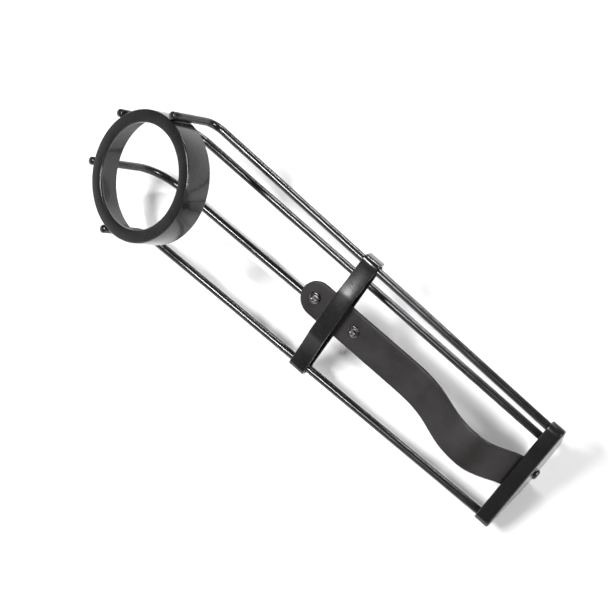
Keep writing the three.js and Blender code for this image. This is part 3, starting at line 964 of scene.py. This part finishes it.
def flat_strap(total):
    """The unbent strap: across along X, out of the face along Y, length along Z."""
    bm = bmesh.new()
    half_thick = STRAP_THICKNESS / 2
    edge = bpy.context.scene.rack_sizes.strap_edge_rounding
    across_steps = 16
    loops = []
    for along in strap_stations(total):
        half = strap_half_width(along, total)
        end_gap = min(along, total - along)
        thick = half_thick
        if end_gap < edge:
            thick *= math.sqrt(max(1 - (1 - end_gap / edge) ** 2, 0.12))
        round_off = min(edge, half * 0.6)
        section = []
        for step in range(across_steps + 1):
            section.append((-half + round_off
                            + (2 * half - 2 * round_off) * step / across_steps, thick))
        for step in range(1, 8):
            angle = math.pi / 2 - math.pi * step / 8
            section.append((half - round_off + round_off * math.cos(angle),
                            thick * math.sin(angle)))
        for step in range(across_steps + 1):
            section.append((half - round_off
                            - (2 * half - 2 * round_off) * step / across_steps, -thick))
        for step in range(1, 8):
            angle = -math.pi / 2 - math.pi * step / 8
            section.append((-half + round_off + round_off * math.cos(angle),
                            thick * math.sin(angle)))
        loops.append([Vector((x, y, along)) for x, y in section])
    loops.append([Vector((0, 0, total))])
    bridge(bm, loops)
    bmesh.ops.recalc_face_normals(bm, faces=bm.faces)
    return finished_mesh("leather_strap", bm)


def punched(data, holes):
    """Cuts round holes, given as (height, radius), straight through the strap."""
    strap = bpy.data.objects.new("strap_blank", data)
    bpy.context.scene.collection.objects.link(strap)
    bm = bmesh.new()
    for along, radius in holes:
        turn = Matrix.Translation((0, 0, along)) @ Matrix.Rotation(math.pi / 2, 4, "X")
        bridge(bm, [
            [turn @ point for point in circle(radius, -0.005, 40)],
            [turn @ point for point in circle(radius, 0.005, 40)],
        ])
    bmesh.ops.recalc_face_normals(bm, faces=bm.faces)
    punch_data = finished_mesh("hole_punch", bm)
    punch = bpy.data.objects.new("hole_punch", punch_data)
    bpy.context.scene.collection.objects.link(punch)
    cut = strap.modifiers.new("holes", "BOOLEAN")
    cut.operation = "DIFFERENCE"
    cut.solver = "EXACT"
    cut.object = punch
    bpy.context.view_layer.update()
    evaluated = strap.evaluated_get(bpy.context.evaluated_depsgraph_get())
    result = bpy.data.meshes.new_from_object(evaluated)
    bpy.data.objects.remove(strap)
    bpy.data.objects.remove(punch)
    bpy.data.meshes.remove(punch_data)
    return result


def eyelet_height(index):
    return STRAP_TIP - EYELET_TIP_MARGIN - index * EYELET_PITCH


class RACK_OT_strap(bpy.types.Operator):
    """Cut, punch and bend the leather strap through its keeper"""
    bl_idname = "rack.strap"
    bl_label = "Leather strap"

    def execute(self, context):
        sizes = context.scene.rack_sizes
        gloss_and_sheen = sizes.gloss_and_sheen_width
        ripple_lift, crown_lift = sizes.slack_ripple, sizes.slack_crown
        course = StrapCourse()
        total = course.total
        barrel = EYELET_HOLE_RADIUS + EYELET_BARREL_WALL + EYELET_SEAT_GAP
        holes = [(total - (STRAP_TIP - eyelet_height(index)), barrel)
                 for index in range(EYELET_COUNT)]
        holes.append((STRAP_TAIL, SCREW_RADIUS + CLEARANCE))
        data = punched(flat_strap(total), holes)
        places = []
        edges = []
        for vertex in data.vertices:
            flat = vertex.co.copy()
            half = strap_half_width(flat.z, total)
            # The edge mask lays the painted sheen (a lighter tint) and the glossier finish
            # along the strap's edges.
            from_edge = half - abs(flat.x)
            edges.append(1 - min(max(from_edge / gloss_and_sheen, 0.0), 1.0))
            places.append(flat)
            slack = min(max((flat.z - SLACK_START) / SLACK_FADE_IN, 0.0), 1.0)
            slack_end = total - SLACK_END
            slack *= min(max((slack_end - flat.z) / SLACK_FADE_OUT, 0.0), 1.0)
            hide = Vector((flat.x * RIPPLES_ACROSS, 0.0, flat.z * RIPPLES_ALONG))
            ripple = noise.noise(hide)
            crown = 1 - (flat.x / (STRAP_WIDTH / 2)) ** 2
            wave = slack * (ripple_lift * ripple + crown_lift * crown)
            vertex.co = RACK @ course.bent(flat.x, flat.z, flat.y + wave)
        place = data.attributes.new("hide_place", "FLOAT_VECTOR", "POINT")
        place.data.foreach_set("vector", [part for spot in places for part in spot])
        edge = data.attributes.new("hide_edge", "FLOAT", "POINT")
        edge.data.foreach_set("value", edges)
        strap = make_object(
            "leather_strap", data, leather_material(), None,
            ["strap_root", "strap_loop", "strap_tongue"], 50)
        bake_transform(strap)
        return {"FINISHED"}


class RACK_OT_eyelets(bpy.types.Operator):
    """Set the rolled eyelets and their back rings in the strap"""
    bl_idname = "rack.eyelets"
    bl_label = "Eyelets"

    def execute(self, context):
        front = STRAP_THICKNESS / 2
        seat = front + EYELET_SEAT_GAP
        rise = EYELET_FLANGE_THICKNESS + CLEARANCE
        barrel = EYELET_HOLE_RADIUS + EYELET_BARREL_WALL
        tail = -front - rise
        for index in range(EYELET_COUNT):
            place = Matrix.Translation((0, -HALF_DEPTH, eyelet_height(index)))
            place = place @ Matrix.Rotation(math.pi / 2, 4, "X")
            profile = rounded([
                (EYELET_HOLE_RADIUS, tail, 0.0002),
                (barrel, tail, 0.0002),
                (barrel, seat, 0.0),
                (EYELET_FLANGE_RADIUS, seat, 0.0002),
                (EYELET_FLANGE_RADIUS - 0.0002, front + rise * 0.55, 0.0002),
                (EYELET_FLANGE_RADIUS - 0.0011, front + rise, 0.0005),
                (EYELET_HOLE_RADIUS + 0.0006, front + rise * 0.92, 0.0003),
                (EYELET_HOLE_RADIUS, front + rise * 0.45, 0.0003),
            ], 3)
            bm = bmesh.new()
            lathe(bm, profile, 48, place)
            ring = rounded([
                (barrel + EYELET_RING_GAP, tail, 0.0002),
                (EYELET_FLANGE_RADIUS, tail, 0.0004),
                (EYELET_FLANGE_RADIUS, -seat, 0.0002),
                (barrel + EYELET_RING_GAP, -seat, 0.0002),
            ], 3)
            lathe(bm, ring, 48, place)
            make_piece(
                f"rolled_eyelet_{index + 1}", bm, eyelet_material(), body=STRAP_BODY,
                replaces=[f"eyelet_{index + 1}", f"eyelet_ring_{index + 1}"], sharp=35)
        return {"FINISHED"}


# -------------------------------------------------------------------- the keeper

KEEPER_TOP = KEEPER_HEIGHT + KEEPER_WIDTH / 2
KEEPER_BACK_FACE = -HALF_DEPTH + ROD_RADIUS + CLEARANCE
KEEPER_END = KEEPER_BACK_FACE + KEEPER_THICKNESS


def keeper_inside():
    rods = half_spacing(FRONT_ROD_ANGLE, FRONT_FOOT_SPACING, KEEPER_TOP)
    return rods + ROD_RADIUS + CLEARANCE


def keeper_line():
    """The bridge's middle line as (width, depth) points from left to right."""
    inside = keeper_inside()
    half_thick = KEEPER_THICKNESS / 2
    leg = inside + half_thick
    face = -HALF_DEPTH - ROD_RADIUS - CLEARANCE - half_thick
    flat = KEEPER_SHOULDER * inside
    bend = KEEPER_BEND_RADIUS
    right = [Vector((leg, KEEPER_END)), Vector((leg, face + bend))]
    for step in range(1, 7):
        angle = math.pi / 2 * step / 6
        right.append(Vector((
            leg - bend + bend * math.cos(angle), face + bend - bend * math.sin(angle))))
    start = right[-1]
    middle = Vector((flat, face))
    finish = Vector((flat / 2, face - KEEPER_BOW))
    for step in range(1, 13):
        share = step / 12
        rest = 1 - share
        right.append(start * rest * rest + middle * 2 * rest * share
                     + finish * share * share)
    left = [Vector((-point.x, point.y)) for point in right]
    return left + list(reversed(right))


def keeper_section(section, spot, facing, shrink):
    """The strip's section set across its line, drawn in where it is shrunk."""
    drawn_in = KEEPER_END_BEVEL * (1 - shrink) / (1 - KEEPER_END_SHRINK)
    loop = []
    for corner in section:
        flat = spot + facing * corner.x * shrink
        height = KEEPER_HEIGHT + corner.y - math.copysign(drawn_in, corner.y)
        loop.append(Vector((flat.x, flat.y, height)))
    return loop


def plate_outline(half, inset, depth):
    """The keeper plate's outline at a depth, drawn in by the inset."""
    half_wide = KEEPER_WIDTH / 2
    flat = rounded([
        (-half + inset, -half_wide + inset, PLATE_CORNER),
        (half - inset, -half_wide + inset, PLATE_CORNER),
        (half - inset, half_wide - inset, PLATE_CORNER),
        (-half + inset, half_wide - inset, PLATE_CORNER),
    ], 8)
    return [Vector((p.x, depth, KEEPER_HEIGHT + p.y)) for p in flat]


def plate_hole(half, radius, depth):
    outline = plate_outline(half, 0.0, depth)
    spots = [Vector((p.x, p.z - KEEPER_HEIGHT)) for p in outline]
    return [Vector((p.x, depth, KEEPER_HEIGHT + p.y)) for p in round_hole(spots, radius)]


class RACK_OT_keeper(bpy.types.Operator):
    """Bend the keeper's bridge over the strap and set the plate behind it"""
    bl_idname = "rack.keeper"
    bl_label = "Keeper"

    def execute(self, context):
        sizes = context.scene.rack_sizes
        half_wide = KEEPER_WIDTH / 2
        half_thick = KEEPER_THICKNESS / 2
        edge = sizes.keeper_edge_rounding
        section = rounded([
            (-half_thick, -half_wide, edge),
            (half_thick, -half_wide, edge),
            (half_thick, half_wide, edge),
            (-half_thick, half_wide, edge),
        ], 3)
        line = keeper_line()
        loops = []
        last = len(line) - 1
        for index, point in enumerate(line):
            before = line[max(index - 1, 0)]
            after = line[min(index + 1, last)]
            heading = (after - before).normalized()
            facing = Vector((-heading.y, heading.x))
            bevel = heading * KEEPER_END_BEVEL
            rows = [(point, 1.0)]
            if index == 0:
                rows = [(point, KEEPER_END_SHRINK), (point + bevel, 1.0)]
            elif index == last:
                rows = [(point - bevel, 1.0), (point, KEEPER_END_SHRINK)]
            for spot, shrink in rows:
                loops.append(keeper_section(section, spot, facing, shrink))
        bm = bmesh.new()
        bridge(bm, loops)
        make_piece("keeper_band", bm, paint_material(),
                   replaces=["keeper_bridge"], sharp=50)

        half = keeper_inside() - CLEARANCE
        near, far = KEEPER_BACK_FACE, KEEPER_END
        hole = KEEPER_HOLE_RADIUS
        chamfer = PLATE_HOLE_CHAMFER
        edge = sizes.plate_edge_rounding
        slight = edge * 0.3
        bm = bmesh.new()
        bridge(bm, [
            plate_hole(half, hole + chamfer, near),
            plate_outline(half, edge, near),
            plate_outline(half, slight, near + slight),
            plate_outline(half, 0.0, near + edge),
            plate_outline(half, 0.0, far - edge),
            plate_outline(half, slight, far - slight),
            plate_outline(half, edge, far),
            plate_hole(half, hole + chamfer, far),
            plate_hole(half, hole, far - chamfer),
            plate_hole(half, hole, near + chamfer),
        ], closed=True)
        make_piece("keeper_backing", bm, paint_material(),
                   replaces=["keeper_plate"], sharp=50)
        return {"FINISHED"}


# -------------------------------------------------------------------- the stage


class RACK_OT_stage(bpy.types.Operator):
    """Lay the pale floor, hang the soft lights and aim the camera"""
    bl_idname = "rack.stage"
    bl_label = "Stage"

    def execute(self, context):
        look = context.scene.rack_stage
        bm = bmesh.new()
        reach = look.floor_reach
        bridge(bm, [[Vector((0, 0, 0))], circle(reach / 2, 0.0, 96),
                    circle(reach, 0.0, 96)], capped=False)
        data = finished_mesh("floor", bm)
        shader = Shader("pale_floor")
        place = shader.object_place()
        speckle = shader.clouds(place, 60.0, 3.0)
        pale = (*look.floor_color, 1.0)
        shade = lifted(look.floor_color, 0.97, 0.0)
        shader.drive(
            Base_Color=shader.blended(shader.ranged(speckle, 0.3, 0.7, 0, 1), pale, shade),
            Roughness=0.9,
            Specular_IOR_Level=0.1,
        )
        data.materials.append(shader.material)
        floor = bpy.data.objects.new("floor", data)
        context.scene.collection.objects.link(floor)

        world = bpy.data.worlds.new("studio")
        world.use_nodes = True
        tree = world.node_tree
        background = tree.nodes["Background"]
        background.inputs["Color"].default_value = (1.0, 1.0, 1.0, 1.0)
        heading = tree.nodes.new("ShaderNodeTexCoord")
        parts = tree.nodes.new("ShaderNodeSeparateXYZ")
        fade = tree.nodes.new("ShaderNodeMapRange")
        fade.interpolation_type = "SMOOTHSTEP"
        fade.inputs["From Min"].default_value = look.horizon_height
        fade.inputs["From Max"].default_value = look.ceiling_height
        fade.inputs["To Min"].default_value = look.horizon_strength
        fade.inputs["To Max"].default_value = look.fill_strength
        tree.links.new(heading.outputs["Generated"], parts.inputs["Vector"])
        tree.links.new(parts.outputs["Z"], fade.inputs["Value"])
        tree.links.new(fade.outputs["Result"], background.inputs["Strength"])
        context.scene.world = world
        context.scene.view_settings.view_transform = "Standard"

        low, high = (Vector(corner) for corner in CAD_BOX)
        target = (low + high) / 2
        lights = (
            ("key_light", Vector((-0.55, -0.75, 1.35)), 0.75, 1.0),
            ("side_light", Vector((1.15, 0.35, 1.1)), 0.55, 0.45),
            ("back_light", Vector((-0.3, 1.25, 0.9)), 0.5, 0.35),
        )
        for name, offset, size, share in lights:
            lamp = bpy.data.lights.new(name, "AREA")
            lamp.shape = "RECTANGLE"
            lamp.size = size
            lamp.size_y = size * look.strip_share
            lamp.energy = look.light_power * share
            holder = bpy.data.objects.new(name, lamp)
            holder.location = target + offset
            holder.rotation_euler = (-offset).to_track_quat("-Z", "Y").to_euler()
            context.scene.collection.objects.link(holder)

        camera_data = bpy.data.cameras.new("camera")
        camera_data.lens = look.lens
        camera = bpy.data.objects.new("camera", camera_data)
        azimuth, elevation = look.view_azimuth, look.view_elevation
        direction = Vector((
            math.sin(azimuth) * math.cos(elevation),
            -math.cos(azimuth) * math.cos(elevation), math.sin(elevation)))
        camera.location = target + direction * look.view_distance
        camera.rotation_euler = (-direction).to_track_quat("-Z", "Y").to_euler()
        context.scene.collection.objects.link(camera)
        context.scene.camera = camera
        return {"FINISHED"}


# ------------------------------------------------------------ settings and panel


class RackSizes(bpy.types.PropertyGroup):
    """Sizes of the rack's details, which change no fit with the frame"""

    rod_end_dome: bpy.props.FloatProperty(
        name="Rod end dome", description="Height of the dome on a rod's end",
        subtype="DISTANCE", unit="LENGTH", min=0.0, max=ROD_RADIUS, default=0.0012)
    ring_weld_radius: bpy.props.FloatProperty(
        name="Ring welds", description="Radius of the weld beads at the ring",
        subtype="DISTANCE", unit="LENGTH", min=0.0002, max=0.002, default=0.0011)
    foot_weld_radius: bpy.props.FloatProperty(
        name="Foot welds", description="Radius of the weld beads round the rod feet",
        subtype="DISTANCE", unit="LENGTH", min=0.0002, max=0.002, default=0.0008)
    keeper_weld_radius: bpy.props.FloatProperty(
        name="Keeper welds", description="Radius of the weld beads at the keeper",
        subtype="DISTANCE", unit="LENGTH", min=0.0002, max=0.002, default=0.0012)
    strap_edge_rounding: bpy.props.FloatProperty(
        name="Strap edge", description="Rounding of the leather along its edges",
        subtype="DISTANCE", unit="LENGTH", min=0.0002, max=STRAP_THICKNESS / 2,
        default=0.0011)
    # The width of the glossier edge, which is also painted a lighter tint as a sheen.
    gloss_and_sheen_width: bpy.props.FloatProperty(
        name="Burnished edge", description="Width of the leather's burnished edge",
        subtype="DISTANCE", unit="LENGTH", min=0.0002, max=0.005, default=0.0012)
    slack_ripple: bpy.props.FloatProperty(
        name="Slack ripple", description="Uneven lift of the slack leather",
        subtype="DISTANCE", unit="LENGTH", min=0.0, max=0.002, default=0.0007)
    slack_crown: bpy.props.FloatProperty(
        name="Slack crown", description="Lift along the middle of the slack leather",
        subtype="DISTANCE", unit="LENGTH", min=0.0, max=0.002, default=0.0005)
    keeper_edge_rounding: bpy.props.FloatProperty(
        name="Keeper edge", description="Rounding along the edges of the keeper's band",
        subtype="DISTANCE", unit="LENGTH", min=0.0001, max=0.0009, default=0.0006)
    plate_edge_rounding: bpy.props.FloatProperty(
        name="Plate edge", description="Rounding along the edges of the keeper's plate",
        subtype="DISTANCE", unit="LENGTH", min=0.0001, max=0.0009, default=0.0005)


class RackFinish(bpy.types.PropertyGroup):
    """Colours of the rack's finishes"""

    paint_color: bpy.props.FloatVectorProperty(
        name="Paint", description="Colour of the enamel on the rods, ring and tray",
        subtype="COLOR", size=3, min=0.0, max=1.0, default=(0.0065, 0.0065, 0.0072))
    paint_wear: bpy.props.FloatProperty(
        name="Paint wear", description="How strongly the rubbed patches show",
        subtype="FACTOR", min=0.0, max=1.0, default=0.55)
    leather_color: bpy.props.FloatVectorProperty(
        name="Leather", description="Colour of the strap's leather",
        subtype="COLOR", size=3, min=0.0, max=1.0, default=(0.0135, 0.0115, 0.0115))
    steel_color: bpy.props.FloatVectorProperty(
        name="Steel", description="Colour of the screw, washer and nut",
        subtype="COLOR", size=3, min=0.0, max=1.0, default=(0.055, 0.055, 0.060))
    eyelet_color: bpy.props.FloatVectorProperty(
        name="Eyelets", description="Colour of the eyelets",
        subtype="COLOR", size=3, min=0.0, max=1.0, default=(0.085, 0.085, 0.092))


class RackStage(bpy.types.PropertyGroup):
    """Floor, lights and camera around the rack"""

    floor_color: bpy.props.FloatVectorProperty(
        name="Floor", description="Colour of the floor",
        subtype="COLOR", size=3, min=0.0, max=1.0, default=(0.90, 0.90, 0.90))
    floor_reach: bpy.props.FloatProperty(
        name="Floor reach", description="Radius of the floor",
        subtype="DISTANCE", unit="LENGTH", min=0.5, default=1.25)
    fill_strength: bpy.props.FloatProperty(
        name="Fill", description="Strength of the even light from all round",
        min=0.0, default=0.12)
    horizon_strength: bpy.props.FloatProperty(
        name="Horizon", description="Strength of the light low round the rack",
        min=0.0, default=1.0)
    horizon_height: bpy.props.FloatProperty(
        name="Horizon height", description="Where the low light starts to fade",
        subtype="FACTOR", min=0.0, max=1.0, default=0.0)
    ceiling_height: bpy.props.FloatProperty(
        name="Ceiling height", description="Where the low light has faded out",
        subtype="FACTOR", min=0.0, max=1.0, default=0.24)
    light_power: bpy.props.FloatProperty(
        name="Lights", description="Power of the brightest softbox",
        subtype="POWER", unit="POWER", min=0.0, default=34.0)
    strip_share: bpy.props.FloatProperty(
        name="Strip share", description="Width of a softbox as a share of its length",
        subtype="FACTOR", min=0.02, max=1.0, default=0.16)
    lens: bpy.props.FloatProperty(
        name="Lens", description="Focal length of the camera",
        subtype="DISTANCE_CAMERA", min=10.0, default=85.0)
    view_distance: bpy.props.FloatProperty(
        name="Distance", description="From the rack's middle to the camera",
        subtype="DISTANCE", unit="LENGTH", min=0.1, default=1.06)
    view_azimuth: bpy.props.FloatProperty(
        name="Azimuth", description="Turn of the camera round the rack",
        subtype="ANGLE", unit="ROTATION", default=math.radians(43))
    view_elevation: bpy.props.FloatProperty(
        name="Elevation", description="Height of the camera over the floor",
        subtype="ANGLE", unit="ROTATION", default=math.radians(68))


class RACK_PT_panel(bpy.types.Panel):
    """Lists the rack's settings and its making steps"""
    bl_idname = "RACK_PT_panel"
    bl_label = "Wire rack frame"
    bl_space_type = "VIEW_3D"
    bl_region_type = "UI"
    bl_category = "Rack"

    def draw(self, context):
        layout = self.layout
        for title, group, cls in (
            ("Sizes", context.scene.rack_sizes, RackSizes),
            ("Finish", context.scene.rack_finish, RackFinish),
            ("Stage", context.scene.rack_stage, RackStage),
        ):
            box = layout.box()
            box.label(text=title)
            for key in cls.__annotations__:
                box.prop(group, key)
        column = layout.column(align=True)
        for operator in OPERATORS:
            column.operator(operator.bl_idname)


OPERATORS = (
    RACK_OT_rods, RACK_OT_ring, RACK_OT_tray, RACK_OT_welds, RACK_OT_screw,
    RACK_OT_strap, RACK_OT_eyelets, RACK_OT_keeper, RACK_OT_stage,
)
CLASSES = (RackSizes, RackFinish, RackStage, *OPERATORS, RACK_PT_panel)


def register():
    for cls in CLASSES:
        bpy.utils.register_class(cls)
    bpy.types.Scene.rack_sizes = bpy.props.PointerProperty(type=RackSizes)
    bpy.types.Scene.rack_finish = bpy.props.PointerProperty(type=RackFinish)
    bpy.types.Scene.rack_stage = bpy.props.PointerProperty(type=RackStage)


def unregister():
    del bpy.types.Scene.rack_stage
    del bpy.types.Scene.rack_finish
    del bpy.types.Scene.rack_sizes
    for cls in reversed(CLASSES):
        bpy.utils.unregister_class(cls)


def main():
    register()
    bpy.ops.rack.rods()
    bpy.ops.rack.ring()
    bpy.ops.rack.tray()
    bpy.ops.rack.welds()
    bpy.ops.rack.screw()
    bpy.ops.rack.strap()
    bpy.ops.rack.eyelets()
    bpy.ops.rack.keeper()
    bpy.ops.rack.stage()


if __name__ == "__main__":
    main()
